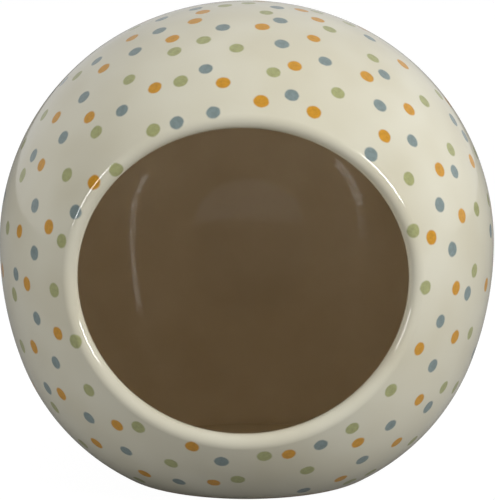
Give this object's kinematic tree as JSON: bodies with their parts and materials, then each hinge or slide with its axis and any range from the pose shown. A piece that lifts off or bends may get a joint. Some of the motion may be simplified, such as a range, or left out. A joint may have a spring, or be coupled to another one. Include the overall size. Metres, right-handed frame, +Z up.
{
  "type": "ceramic hamster house",
  "caption": "Hollow glazed ceramic globe with a flat foot ring and one large oval front mouth, a hiding and sleeping house for a hamster.",
  "frame": {"origin": "middle of the foot ring on the table, on the globe's upright axis", "axes": "+Z up along the globe's axis, -Y out through the mouth, +X to the right as seen from in front of the mouth's back wall looking along +Y"},
  "size_m": [0.12, 0.1095, 0.1151],
  "materials": {
    "glazed_body": "clear gloss glaze over a cream body printed with small round dots in orange, blue-grey and sage green; tan gloss glaze inside; bare fired clay on the foot ring"
  },
  "bodies": {
    "root": {"house_shell": "glazed_body"}
  },
  "joints": []
}
